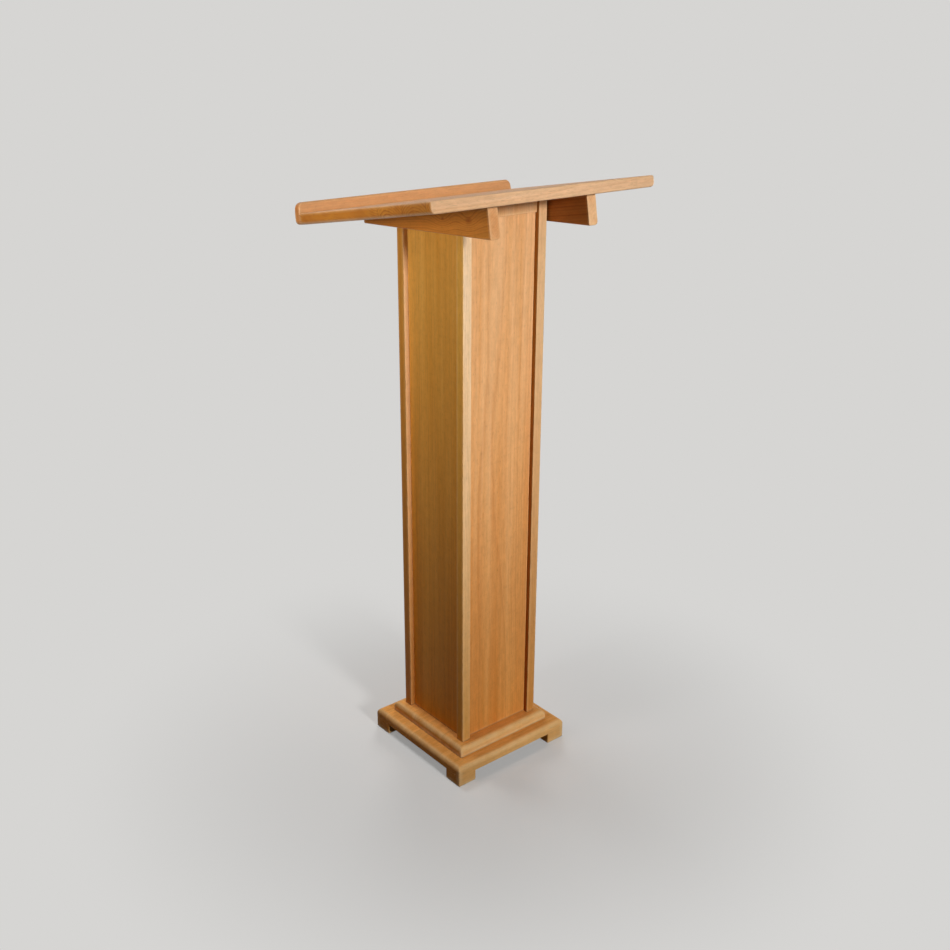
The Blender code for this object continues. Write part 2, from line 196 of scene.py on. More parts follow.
def new_group(name, inputs, outputs):
    """An empty shader node group with named sockets, and its input and output sockets."""
    tree = bpy.data.node_groups.new(name, "ShaderNodeTree")
    for title, kind in inputs.items():
        tree.interface.new_socket(title, in_out="INPUT", socket_type="NodeSocket" + kind)
    for title, kind in outputs.items():
        tree.interface.new_socket(title, in_out="OUTPUT", socket_type="NodeSocket" + kind)
    inlet = tree.nodes.new("NodeGroupInput").outputs
    outlet = tree.nodes.new("NodeGroupOutput").inputs
    return tree, inlet, outlet


NOISE_MIDDLE = (0.5, 0.5, 0.5)
NOISE_ROUGHNESS = 0.6


def timber_noise(tree, vector, seed, along, across, detail):
    """Noise whose features are drawn out along the grain: so many per metre each way."""
    stretched = calculate_vector(tree, "MULTIPLY", vector, (along, across, across))
    inputs = {"Vector": stretched, "W": seed, "Scale": 1.0, "Detail": detail}
    inputs["Roughness"] = NOISE_ROUGHNESS
    return add_node(tree, "ShaderNodeTexNoise", inputs, noise_dimensions="4D").outputs


SWAY_NOISE = (1.1, 8.0, 1.0)
SWAY = (0.0, 0.05, 0.05)
WAVER_NOISE = (9.0, 70.0, 1.0)
WAVER_SPAN = (0.2, 0.8)
WAVER = 0.0008
TONE_NOISE = (0.8, 28.0, 2.0)
TONE_SPAN = (0.3, 0.7)
STREAK_NOISE = (2.2, 110.0, 3.0)
STREAK_SPAN = (0.28, 0.72)
FIBRE_NOISE = (20.0, 700.0, 2.0)
FIBRE_SPAN = (0.25, 0.75)
PORE_NOISE = (110.0, 2000.0, 0.0)
PORE_SPAN = (0.66, 0.74)
MOTTLE_NOISE = (45.0, 130.0, 2.0)
MOTTLE_SPAN = (0.3, 0.7)
LATE_WOOD = 0.84
RING_SHARPNESS = 2.4
FAINTEST_RING = 0.15
FLECKS_PER_METRE = (8.0, 36.0, 36.0)
FLECK_REACH = (0.03, 0.08)
FLECK_SHARE = 0.4
STREAK_TINT = (0.88, 0.78, 0.62, 1.0)
FIBRE_SHADES = (0.98, 1.1)
MOTTLE_SHADES = (0.92, 1.06)
PORE_SHADE = 0.75
STREAK_ROUGHNESS = (0.48, 0.38)
PORE_ROUGHNESS = 0.2
FIBRE_HEIGHT = 0.35
RING_HEIGHT = 0.3
PORE_HEIGHT = -0.6


def timber_figure_group():
    """Growth rings round a pith on the X axis, with fibres, pores, flecks and slow shifts of tone."""
    tree, inlet, outlet = new_group(
        "timber_figure",
        {
            "Vector": "Vector",
            "Seed": "Float",
            "Ring Width": "Float",
            "Figure": "Float",
            "Deep Figure": "Float",
            "Streak": "Float",
            "Pale": "Color",
            "Glow": "Color",
            "Dark": "Color",
            "Deep Tint": "Color",
            "Deep Faces": "Float",
            "Amber": "Float",
            "Amber Tint": "Color",
            "Knot Rise": "Float",
            "Knot Core": "Float",
        },
        {"Color": "Color", "Roughness": "Float", "Height": "Float"},
    )
    vector, seed = inlet["Vector"], inlet["Seed"]

    sway = timber_noise(tree, vector, seed, *SWAY_NOISE)["Color"]
    sway = calculate_vector(tree, "SUBTRACT", sway, NOISE_MIDDLE)
    sway = calculate_vector(tree, "MULTIPLY", sway, SWAY)
    section = calculate_vector(tree, "MULTIPLY", vector, (0.0, 1.0, 1.0))
    section = calculate_vector(tree, "ADD", section, sway)
    radius = calculate_vector(tree, "LENGTH", section)
    waver = timber_noise(tree, vector, seed, *WAVER_NOISE)["Fac"]
    waver = spread(tree, waver, *WAVER_SPAN, -WAVER, WAVER)
    radius = calculate(tree, "ADD", radius, waver)
    radius = calculate(tree, "ADD", radius, inlet["Knot Rise"])

    count = calculate(tree, "DIVIDE", radius, inlet["Ring Width"])
    season = calculate(tree, "FRACT", count)
    rise = calculate(tree, "POWER", spread(tree, season, 0.0, LATE_WOOD), RING_SHARPNESS)
    fall = spread(tree, season, LATE_WOOD, 1.0, 1.0, 0.0)
    year = calculate(tree, "ADD", calculate(tree, "FLOOR", count), seed)
    vigour = add_node(tree, "ShaderNodeTexWhiteNoise", {"W": year}, noise_dimensions="1D")
    vigour = spread(tree, vigour.outputs["Value"], 0.0, 1.0, FAINTEST_RING, 1.0)
    ring = calculate(tree, "MULTIPLY", calculate(tree, "MULTIPLY", rise, fall), vigour)
    clear = spread(tree, inlet["Deep Faces"], 0.0, 1.0, inlet["Figure"], inlet["Deep Figure"])
    ring = calculate(tree, "MULTIPLY", ring, clear)

    tone = spread(tree, timber_noise(tree, vector, seed, *TONE_NOISE)["Fac"], *TONE_SPAN)
    streak = spread(tree, timber_noise(tree, vector, seed, *STREAK_NOISE)["Fac"], *STREAK_SPAN)
    fibre = spread(tree, timber_noise(tree, vector, seed, *FIBRE_NOISE)["Fac"], *FIBRE_SPAN)
    pore = spread(tree, timber_noise(tree, vector, seed, *PORE_NOISE)["Fac"], *PORE_SPAN)
    mottle = spread(tree, timber_noise(tree, vector, seed, *MOTTLE_NOISE)["Fac"], *MOTTLE_SPAN)
    cells = calculate_vector(tree, "MULTIPLY", vector, FLECKS_PER_METRE)
    cells = {"Vector": cells, "W": seed, "Scale": 1.0}
    cells = add_node(tree, "ShaderNodeTexVoronoi", cells, voronoi_dimensions="4D")
    fleck = spread(tree, cells.outputs["Distance"], *FLECK_REACH, FLECK_SHARE, 0.0)

    colour = mix_colours(tree, tone, inlet["Pale"], inlet["Glow"])
    colour = mix_colours(tree, ring, colour, inlet["Dark"])
    colour = mix_colours(tree, fleck, colour, inlet["Dark"])
    colour = mix_colours(tree, inlet["Knot Core"], colour, inlet["Dark"])
    veil = calculate(tree, "MULTIPLY", spread(tree, streak, 0.0, 1.0, 1.0, 0.0), inlet["Streak"])
    colour = mix_colours(tree, veil, colour, STREAK_TINT, "MULTIPLY")
    shade = spread(tree, fibre, 0.0, 1.0, *FIBRE_SHADES)
    shade = calculate(tree, "MULTIPLY", shade, spread(tree, mottle, 0.0, 1.0, *MOTTLE_SHADES))
    shade = calculate(tree, "MULTIPLY", shade, spread(tree, pore, 0.0, 1.0, 1.0, PORE_SHADE))
    colour = mix_colours(tree, 1.0, colour, shade, "MULTIPLY")
    # Deep Tint darkens end grain, and is painted shade where posts and bearers use it on side faces.
    colour = mix_colours(tree, inlet["Deep Faces"], colour, inlet["Deep Tint"], "MULTIPLY")
    # Painted shade: darker and more orange lower down, by the Downward Shade share.
    colour = mix_colours(tree, inlet["Amber"], colour, inlet["Amber Tint"], "MULTIPLY")
    tree.links.new(colour, outlet["Color"])

    roughness = spread(tree, streak, 0.0, 1.0, *STREAK_ROUGHNESS)
    roughness = calculate(tree, "MULTIPLY_ADD", pore, PORE_ROUGHNESS, roughness)
    tree.links.new(roughness, outlet["Roughness"])

    height = calculate(tree, "MULTIPLY", fibre, FIBRE_HEIGHT)
    height = calculate(tree, "MULTIPLY_ADD", ring, RING_HEIGHT, height)
    height = calculate(tree, "MULTIPLY_ADD", pore, PORE_HEIGHT, height)
    tree.links.new(height, outlet["Height"])
    return tree


# The edge mask pales the finish as wear and as a painted highlight.
WEAR_HIGHLIGHT_PATCHES_PER_METRE = 45.0
WEAR_HIGHLIGHT_DETAIL = 3.0
WEAR_HIGHLIGHT_SPAN = (0.3, 0.7)
LEAST_WEAR_HIGHLIGHT = 0.35


def edge_wear_highlight_group():
    """A mask along the edges of a block, where the finish is paled as wear and as a painted
    highlight.
    """
    tree, inlet, outlet = new_group(
        "edge_wear_highlight",
        {"Vector": "Vector", "Low": "Vector", "High": "Vector", "Width": "Float"},
        {"Mask": "Float"},
    )
    from_low = calculate_vector(tree, "SUBTRACT", inlet["Vector"], inlet["Low"])
    from_high = calculate_vector(tree, "SUBTRACT", inlet["High"], inlet["Vector"])
    depth = calculate_vector(tree, "MINIMUM", from_low, from_high)
    depth = add_node(tree, "ShaderNodeSeparateXYZ", {"Vector": depth}).outputs
    near = [spread(tree, depth[axis], 0.0, inlet["Width"], 1.0, 0.0) for axis in "XYZ"]
    pairs = [calculate(tree, "MULTIPLY", near[one], near[one - 1]) for one in range(3)]
    nearest = calculate(tree, "MAXIMUM", calculate(tree, "MAXIMUM", *pairs[:2]), pairs[2])
    patches = {"Vector": inlet["Vector"], "Scale": WEAR_HIGHLIGHT_PATCHES_PER_METRE, "Detail": WEAR_HIGHLIGHT_DETAIL}
    patches = add_node(tree, "ShaderNodeTexNoise", patches).outputs["Fac"]
    patches = spread(tree, patches, *WEAR_HIGHLIGHT_SPAN, LEAST_WEAR_HIGHLIGHT, 1.0)
    tree.links.new(calculate(tree, "MULTIPLY", nearest, patches), outlet["Mask"])
    return tree


STAVE_SHIFT = (4.0, 0.11, 0.13)
STAVE_TONES = (0.90, 1.06)
GLUE_LINE = (0.0002, 0.0007)
GLUE_SHADE = 0.72


def staves_group():
    """Splits a board into edge-glued staves, each cut from another place in the log."""
    tree, inlet, outlet = new_group(
        "staves",
        {"Vector": "Vector", "First": "Float", "Width": "Float", "Seed": "Float"},
        {"Vector": "Vector", "Tone": "Float"},
    )
    across = add_node(tree, "ShaderNodeSeparateXYZ", {"Vector": inlet["Vector"]}).outputs["Y"]
    across = calculate(tree, "SUBTRACT", across, inlet["First"])
    count = calculate(tree, "DIVIDE", across, inlet["Width"])
    index = calculate(tree, "FLOOR", count)
    label = calculate(tree, "ADD", index, inlet["Seed"])
    chance = add_node(tree, "ShaderNodeTexWhiteNoise", {"W": label}, noise_dimensions="1D").outputs
    shift = calculate_vector(tree, "SUBTRACT", chance["Color"], NOISE_MIDDLE)
    shift = calculate_vector(tree, "MULTIPLY", shift, STAVE_SHIFT)
    middle = calculate(tree, "MULTIPLY_ADD", index, inlet["Width"], inlet["First"])
    middle = calculate(tree, "MULTIPLY_ADD", inlet["Width"], 0.5, middle)
    middle = add_node(tree, "ShaderNodeCombineXYZ", {"Y": middle}).outputs["Vector"]
    moved = calculate_vector(tree, "SUBTRACT", inlet["Vector"], middle)
    tree.links.new(calculate_vector(tree, "ADD", moved, shift), outlet["Vector"])

    half = calculate(tree, "MULTIPLY", inlet["Width"], 0.5)
    glue_line = calculate(tree, "PINGPONG", across, half)
    glue_line = spread(tree, glue_line, *GLUE_LINE, GLUE_SHADE, 1.0)
    tone = spread(tree, chance["Value"], 0.0, 1.0, *STAVE_TONES)
    tree.links.new(calculate(tree, "MULTIPLY", tone, glue_line), outlet["Tone"])
    return tree


timber_figure = timber_figure_group()
edge_wear_highlight = edge_wear_highlight_group()
staves = staves_group()

LEVEL = Matrix.Identity(3)
GRAIN_TURNS = {
    "x": LEVEL,
    "y": Matrix.Rotation(math.radians(90), 3, "Z"),
    "z": Matrix.Rotation(math.radians(-90), 3, "Y"),
}
RING_WIDTH = 0.0042
FIGURE = 0.3
DEEP_FIGURE = 0.4
STREAK = 0.6
DEEP_FACES = (0.45, 0.95)
LEVEL_FACES = (0.85, 1.0)
END_GRAIN_TINT = (0.92, 0.70, 0.42, 1.0)
# Edges are paled towards this colour as wear and as a painted highlight.
EDGE_WEAR_HIGHLIGHT = (0.006, 0.25)
WEAR_HIGHLIGHT_COLOUR = paint(255, 224, 172)
RUB_POLISH = -0.06
# Painted shade that grows towards the foot of upright pieces, between these heights.
DOWNWARD_SHADE_TINT = (0.94, 0.70, 0.34, 1.0)
DOWNWARD_SHADE_HEIGHTS = (1.0, 0.1)
# A painted shade line where a piece meets what it stands on.
FOOT_SHADE_LINE = 0.004
FOOT_SHADE_FACTOR = 0.6
# Painted shade in the recess walls of the posts.
RECESS_SHADE_TINT = (0.62, 0.56, 0.50, 1.0)
BUMP_STRENGTH = 0.2
GRAIN_DEPTH = 0.0005
SATIN_GLOSS = 0.12


def timber_finish(
    name, box, grain, pith, tones, seed,
    ring=RING_WIDTH, figure=FIGURE, deep_figure=DEEP_FIGURE, streak=STREAK,
    deep_axis=None, deep_tint=END_GRAIN_TINT, level_tint=None, lie=LEVEL, stave=None, knots=None,
    wear_highlight=EDGE_WEAR_HIGHLIGHT, foot=None, amber=DOWNWARD_SHADE_TINT, recess=None, gloss=SATIN_GLOSS,
):
    """Satin lacquered wood of one board, in a frame of its own that lies level or on a slope.

    The grain runs along an axis of that frame. The faces across the deep axis take a deeper tint,
    by default the ends of the grain, and level_tint darkens the faces that look up. stave is the
    first glue line's place and the staves' width, and wear_highlight is how far in from the edges,
    and how much, the finish is paled, as wear and as a painted highlight. foot is the height of a
    lower edge with a painted shade line along it, and an upright piece is painted darker and more
    orange towards it, as painted shade. recess is the places along X of a post's outer face and of
    the wall between which painted shade lies in the recess.
    """
    material = bpy.data.materials.new(name)
    material.use_nodes = True
    tree = material.node_tree
    shader = tree.nodes["Principled BSDF"]
    place = add_node(tree, "ShaderNodeTexCoord", {}).outputs["Object"]
    if lie != LEVEL:
        turn = {"Vector": place, "Rotation": lie.to_euler()}
        place = add_node(tree, "ShaderNodeMapping", turn, vector_type="TEXTURE").outputs["Vector"]
    log = {"Vector": place, "Location": pith, "Rotation": GRAIN_TURNS[grain].to_euler()}
    log = add_node(tree, "ShaderNodeMapping", log, vector_type="TEXTURE").outputs["Vector"]

    facing = add_node(tree, "ShaderNodeNewGeometry", {}).outputs["Normal"]
    deep_way = lie @ GRAIN_TURNS[deep_axis or grain] @ Vector((1, 0, 0))
    deep = calculate(tree, "ABSOLUTE", calculate_vector(tree, "DOT_PRODUCT", facing, deep_way))
    deep = spread(tree, deep, *DEEP_FACES)

    board_tone = None
    if stave:
        layout = {"Vector": log, "First": stave[0], "Width": stave[1], "Seed": seed}
        board = add_node(tree, "ShaderNodeGroup", layout, node_tree=staves)
        log, board_tone = board.outputs["Vector"], board.outputs["Tone"]

    timber = {
        "Vector": log,
        "Seed": seed,
        "Ring Width": ring,
        "Figure": figure,
        "Deep Figure": deep_figure,
        "Streak": streak,
        "Deep Tint": deep_tint,
        "Deep Faces": deep,
    }
    timber.update(zip(("Pale", "Glow", "Dark"), tones))
    timber.update(knots(tree, place) if knots else {})
    across, _, height = add_node(tree, "ShaderNodeSeparateXYZ", {"Vector": place}).outputs
    # Upright pieces are painted darker and more orange towards the foot: painted shade.
    if foot and grain == "z":
        timber["Amber"] = spread(tree, height, *DOWNWARD_SHADE_HEIGHTS)
        timber["Amber Tint"] = amber
    wood = add_node(tree, "ShaderNodeGroup", timber, node_tree=timber_figure).outputs
    wear_highlight_mask = {"Vector": place, "Low": box[0], "High": box[1], "Width": wear_highlight[0]}
    wear_highlight_mask = add_node(tree, "ShaderNodeGroup", wear_highlight_mask, node_tree=edge_wear_highlight).outputs["Mask"]

    colour = wood["Color"]
    if board_tone:
        colour = mix_colours(tree, 1.0, colour, board_tone, "MULTIPLY")
    # Paled edges: wear and a painted highlight.
    wear_highlight_share = calculate(tree, "MULTIPLY", wear_highlight_mask, wear_highlight[1])
    colour = mix_colours(tree, wear_highlight_share, colour, WEAR_HIGHLIGHT_COLOUR)
    # Painted shade on the recess walls beside the panels.
    if recess:
        wall = calculate(tree, "MULTIPLY", spread(tree, across, *recess), deep)
        colour = mix_colours(tree, wall, colour, RECESS_SHADE_TINT, "MULTIPLY")
    # Faces that look up are darkened; on the base this is painted shade.
    if level_tint:
        level = add_node(tree, "ShaderNodeSeparateXYZ", {"Vector": facing}).outputs["Z"]
        level = spread(tree, level, *LEVEL_FACES)
        colour = mix_colours(tree, level, colour, level_tint, "MULTIPLY")
    # Painted shade in the crease along the foot.
    if foot:
        foot_shade = spread(tree, height, foot, foot + FOOT_SHADE_LINE, FOOT_SHADE_FACTOR, 1.0)
        colour = mix_colours(tree, 1.0, colour, foot_shade, "MULTIPLY")
    tree.links.new(colour, shader.inputs["Base Color"])
    roughness = calculate(tree, "MULTIPLY_ADD", wear_highlight_mask, RUB_POLISH, wood["Roughness"])
    tree.links.new(roughness, shader.inputs["Roughness"])
    bump = {"Height": wood["Height"], "Strength": BUMP_STRENGTH, "Distance": GRAIN_DEPTH}
    bump = add_node(tree, "ShaderNodeBump", bump).outputs["Normal"]
    tree.links.new(bump, shader.inputs["Normal"])
    shader.inputs["Specular IOR Level"].default_value = gloss
    return material


BASE_TONES = (paint(250, 196, 126), paint(243, 180, 102), paint(206, 132, 64))
BASE_END_TINT = (0.67, 0.44, 0.13, 1.0)
# The base's tops are painted darker: painted shade.
BASE_TOP_SHADE_TINT = (0.95, 0.83, 0.66, 1.0)
BASE_RING = 0.0036
BASE_END_FIGURE = 0.7
BASE_FIRST_STAVE = -0.03
BASE_STAVE = 0.097
BASE_GLOSS = 0.07
# The base's rounded edges take a wide, strong painted highlight, with some wear.
ROUND_WEAR_HIGHLIGHT = (0.012, 0.75)
STAND_SEED = 11.0


def base_finish(name, low, high, seed, foot=None):
    return timber_finish(
        name,
        (low, high),
        "x",
        (0.0, low.y, low.z),
        BASE_TONES,
        seed,
        ring=BASE_RING,
        deep_figure=BASE_END_FIGURE,
        deep_tint=BASE_END_TINT,
        level_tint=BASE_TOP_SHADE_TINT,
        stave=(BASE_FIRST_STAVE, BASE_STAVE),
        wear_highlight=ROUND_WEAR_HIGHLIGHT,
        foot=foot,
        gloss=BASE_GLOSS,
    )


stand_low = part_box("foot_front_left")[0]
stand_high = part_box("plinth_board")[1]
stand_finish = base_finish("stand_finish", stand_low, stand_high, STAND_SEED)

for corner in CORNERS:
    node = "foot_" + corner
    low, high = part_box(node)
    shape = block(low, high)
    free_edges = edges_where(shape, lambda middle, axis: middle.z < high.z - FOOT_EASE)
    round_edges(shape, free_edges, FOOT_EASE, EASE_SEGMENTS)
    shape = bore(shape, [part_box("foot_screw_" + corner)], low.z - MOUTH_PAST)
    add_piece(node, shape, stand_finish, "base_wood")


# Base
# A plinth board and a smaller base board, each glued up from staves that run from left to right.
# Their upper edges are rounded over with a router, and screws from below hold them together.

ROUND_SEGMENTS = 10
CORNER_EASE = 0.003
PLINTH_ROUND = 0.0105
BASE_ROUND = 0.0125
BASE_SEED = 23.0
NEARBY = 0.0001


def stepped_board(node, radius):
    """A square board with its upper edges rounded over and its corners eased."""
    low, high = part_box(node)
    shape = block(low, high)
    upper = edges_where(shape, lambda middle, axis: middle.z > high.z - CORNER_EASE)
    round_edges(shape, upper, radius, ROUND_SEGMENTS)
    middle_y = (low.y + high.y) / 2
    mitres = edges_where(
        shape,
        lambda middle, axis: abs(abs(middle.x) - abs(middle.y - middle_y)) < NEARBY,
    )
    round_edges(shape, mitres, CORNER_EASE, EASE_SEGMENTS)
    return shape


plinth = stepped_board("plinth_board", PLINTH_ROUND)
base_screws = [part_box("base_screw_" + corner) for corner in CORNERS]
plinth = bore(plinth, base_screws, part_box("plinth_board")[0].z - MOUTH_PAST)
add_piece("plinth_board", plinth, stand_finish, "base_wood")
base = stepped_board("base_board", BASE_ROUND)
low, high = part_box("base_board")
# The base board takes a painted shade line where it sits on the plinth.
finish = base_finish("base_board_finish", low, high, BASE_SEED, foot=low.z)
add_piece("base_board", base, finish, "base_wood")


# Posts
# Four square strips of straight-grained wood that make the column's corners.
# Each has a groove for a panel in both inner faces, and its top is cut to the slope of the desk.

DESK_TILT = math.radians(10)
POST_EASE = 0.0012
PANEL_GROOVE = (0.0100, 0.0148)
GROOVE_DEPTH = 0.0032
PALE_TONES = (paint(248, 220, 186), paint(242, 206, 162), paint(206, 150, 92))
POST_TONES = (paint(231, 190, 146), paint(223, 176, 126), paint(190, 130, 76))
# The posts' faces that look left and right take painted shade.
POST_SIDE_SHADE_TINT = (0.87, 0.62, 0.17, 1.0)
# The posts' painted shade towards the foot.
POST_DOWNWARD_SHADE_TINT = (0.85, 0.59, 0.25, 1.0)
POST_RING = 0.003
POST_PITH = Vector((0.16, 0.21, 0.0))
POST_SEED = 31.0

column_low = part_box("post_front_left")[0]
column_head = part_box("post_front_left")[1].z


def column_top(y):
    """Height of the column's sloping top over y."""
    return column_head - (y - column_low.y) * math.tan(DESK_TILT)


def grooved_section(side, groove, depth):
    """Corners of a square post's section, from its outer corner round to its two grooves."""
    near, far = groove
    groove_walls = [(side, near), (side - depth, near), (side - depth, far), (side, far)]
    mirrored = [(v, u) for u, v in reversed(groove_walls)]
    return [(0, 0), (side, 0), *groove_walls, (side, side), *mirrored, (0, side)]


for number, corner in enumerate(CORNERS):
    node = "post_" + corner
    low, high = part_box(node)
    front, left = "front" in corner, "left" in corner
    outer = Vector((low.x if left else high.x, low.y if front else high.y, low.z))
    inward = Vector((1 if left else -1, 1 if front else -1, 0))
    shape = bmesh.new()
    section = grooved_section(high.x - low.x, PANEL_GROOVE, GROOVE_DEPTH)
    verts = [shape.verts.new(outer + inward * Vector((u, v, 0))) for u, v in section]
    foot = shape.faces.new(verts)
    head = bmesh.ops.extrude_face_region(shape, geom=[foot])["geom"]
    for vert in (item for item in head if isinstance(item, bmesh.types.BMVert)):
        vert.co.z = column_top(vert.co.y)
    bmesh.ops.recalc_face_normals(shape, faces=shape.faces)
    arrises = edges_where(
        shape,
        lambda middle, axis: axis == "z"
        and min(middle.x - low.x, high.x - middle.x) < NEARBY
        and min(middle.y - low.y, high.y - middle.y) < NEARBY,
    )
    round_edges(shape, arrises, POST_EASE, EASE_SEGMENTS)
    pith = (outer.x + inward.x * POST_PITH.x, outer.y + inward.y * POST_PITH.y, 0.0)
    # Painted shade on the side faces, in the recesses, and towards the foot.
    finish = timber_finish(
        node + "_finish",
        (low, high),
        "z",
        pith,
        PALE_TONES if corner == "front_left" else POST_TONES,
        POST_SEED + number,
        ring=POST_RING,
        deep_axis="x",
        deep_tint=POST_SIDE_SHADE_TINT,
        foot=low.z,
        amber=POST_DOWNWARD_SHADE_TINT,
        recess=(outer.x, low.x if inward.x < 0 else high.x),
    )
    add_piece(node, shape, finish, "post_wood")


# Top rails
# Strips between the heads of the posts that carry the desk, stub-tenoned into the posts' grooves.
# They stand a little proud of the panels, and a groove in the eased lower edge takes the panel.

RAIL_EASE = 0.0008
TENON_SHOULDER = 0.0044
RAIL_CHEEK = 0.0041
RAIL_PITH = (-0.11, -0.09)
RAIL_SEED = 41.0
SIDES = ("left", "right")
OUTWARD = {
    "front": Vector((0, -1, 0)),
    "back": Vector((0, 1, 0)),
    "left": Vector((-1, 0, 0)),
    "right": Vector((1, 0, 0)),
}
UP = Vector((0, 0, 1))
FRONT_TONES = (paint(240, 194, 146), paint(228, 166, 106), paint(198, 132, 78))
# The side panels and rails take darker, more saturated tones than the front and back: painted shade.
SHADED_SIDE_TONES = (paint(242, 180, 86), paint(226, 158, 58), paint(178, 108, 42))


def face_towards(shape, direction):
    shape.normal_update()
    return max(shape.faces, key=lambda face: face.normal.dot(direction))


def step_face(shape, face, rim, rise):
    """Leaves a rim round a face and moves the rest of it out, or in where rise is negative."""
    way = face.normal.copy()
    bmesh.ops.inset_region(shape, faces=[face], thickness=rim, use_even_offset=True)
    field = bmesh.ops.extrude_discrete_faces(shape, faces=[face])["faces"][0]
    bmesh.ops.translate(shape, vec=way * rise, verts=field.verts)


for number, (face, outward) in enumerate(OUTWARD.items()):
    node = "top_rail_" + face
    low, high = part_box(node)
    along = UP.cross(outward)
    tenon = Vector([abs(share) * GROOVE_DEPTH for share in along])
    shape = block(low + tenon, high - tenon)
    for vert in shape.verts:
        if vert.co.z > (low.z + high.z) / 2:
            vert.co.z = column_top(vert.co.y)
        elif face in SIDES:
            vert.co.z += (high.y - tenon.y - vert.co.y) * math.tan(DESK_TILT)
    ends = [face_towards(shape, along), face_towards(shape, -along)]
    underside = face_towards(shape, -UP)
    for end in ends:
        step_face(shape, end, TENON_SHOULDER, GROOVE_DEPTH)
    step_face(shape, underside, RAIL_CHEEK, -GROOVE_DEPTH)
    reach = max(vert.co.dot(outward) for vert in shape.verts)
    arris = edges_where(
        shape,
        lambda middle, axis: axis == main_axis(along)
        and middle.dot(outward) > reach - NEARBY
        and middle.z < column_top(middle.y) - RAIL_EASE,
    )
    round_edges(shape, arris, RAIL_EASE, EASE_SEGMENTS)
    tones = SHADED_SIDE_TONES if face in SIDES else FRONT_TONES
    pith = (low.x + RAIL_PITH[0], low.y + RAIL_PITH[1], 0.0)
    finish = timber_finish(node + "_finish", (low, high), "z", pith, tones, RAIL_SEED + number)
    add_piece(node, shape, finish, "post_wood")


# Panels
# Thin flat boards with upright grain that slide in the grooves and close the column's four sides.
# A tongue runs round the edge, and the thicker field faces the inside.

TONGUE_RIM = 0.0032
FIELD_RISE = 0.0038
PANEL_FIGURE = 0.4
PANEL_STREAK = 0.9
PANEL_SEED = 53.0
PANEL_LOOKS = {
    "front": (FRONT_TONES, (-0.018, 0.055), 0.0052),
    "back": (FRONT_TONES, (0.03, -0.06), 0.0050),
    "left": (SHADED_SIDE_TONES, (0.05, 0.26), 0.0040),
    "right": (SHADED_SIDE_TONES, (-0.06, -0.30), 0.0042),
}

for number, (face, (tones, pith_shift, ring)) in enumerate(PANEL_LOOKS.items()):
    node = "panel_" + face
    low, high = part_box(node)
    shape = block(low, high)
    inside = face_towards(shape, -OUTWARD[face])
    bmesh.ops.translate(shape, vec=OUTWARD[face] * FIELD_RISE, verts=inside.verts)
    if face in SIDES:
        for vert in face_towards(shape, UP).verts:
            vert.co.z -= (vert.co.y - low.y) * math.tan(DESK_TILT)
    step_face(shape, inside, TONGUE_RIM, FIELD_RISE)
    middle = (low + high) / 2
    pith = (middle.x + pith_shift[0], middle.y + pith_shift[1], 0.0)
    # The panels take painted shade along the foot and darker towards it.
    finish = timber_finish(
        node + "_finish",
        (low, high),
        "z",
        pith,
        tones,
        PANEL_SEED + number,
        ring=ring,
        figure=PANEL_FIGURE,
        streak=PANEL_STREAK,
        foot=low.z,
    )
    add_piece(node, shape, finish, "panel_wood")


# Cleats
# Two strips of raw wood inside the head of the column, glued to the side rails.
# The desk is screwed on through them from below.

INNER_TONES = (paint(226, 190, 142), paint(214, 172, 120), paint(180, 130, 80))
CLEAT_PITH = Vector((-0.05, 0.0, -0.04))
CLEAT_SEED = 61.0


def finish_node(node, finish):
    """Gives a piece that is seen as it stands in the frame its finish."""
    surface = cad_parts[node].data.materials
    surface.clear()
    surface.append(finish)


for number, side in enumerate(SIDES):
    node = "desk_cleat_" + side
    low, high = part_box(node)
    pith = low + CLEAT_PITH
    seed = CLEAT_SEED + number
    finish_node(node, timber_finish(node + "_finish", (low, high), "y", pith, INNER_TONES, seed))


# Desk board
# A wide board glued up from staves that run from left to right, so its ends show end grain.
# The ends are rounded, more below than above, and the front edge is eased.

DESK_TOP_ROUND = 0.004
DESK_UNDER_ROUND = 0.009
DESK_FRONT_EASE = 0.0025
DESK_FIRST_STAVE = 0.014
DESK_STAVE = 0.068
DESK_FIGURE = 0.22
DESK_END_FIGURE = 1.0
DESK_SEED = 71.0
DESK_TONES = (paint(232, 191, 152), paint(220, 171, 128), paint(178, 114, 66))
DESK_END_TINT = (0.74, 0.46, 0.08, 1.0)
DESK_LEVEL_TINT = (1.0, 0.88, 0.70, 1.0)

slope = Matrix.Rotation(-DESK_TILT, 3, "X")


def slope_box(node):
    """Lowest and highest corner of a node in the frame that lies down on the desk's slope."""
    corners = [slope.transposed() @ vert.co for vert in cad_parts[node].data.vertices]
    low = Vector([min(corner[axis] for corner in corners) for axis in range(3)])
    high = Vector([max(corner[axis] for corner in corners) for axis in range(3)])
    return low, high


def tilt_shape(shape):
    bmesh.ops.rotate(shape, cent=(0, 0, 0), matrix=slope, verts=shape.verts)


def end_edges(shape, low, high, height):
    """The edges that run down the slope at both ends of a board, at a height."""
    return edges_where(
        shape,
        lambda middle, axis: axis == "y"
        and abs(middle.z - height) < NEARBY
        and min(middle.x - low.x, high.x - middle.x) < NEARBY,
    )


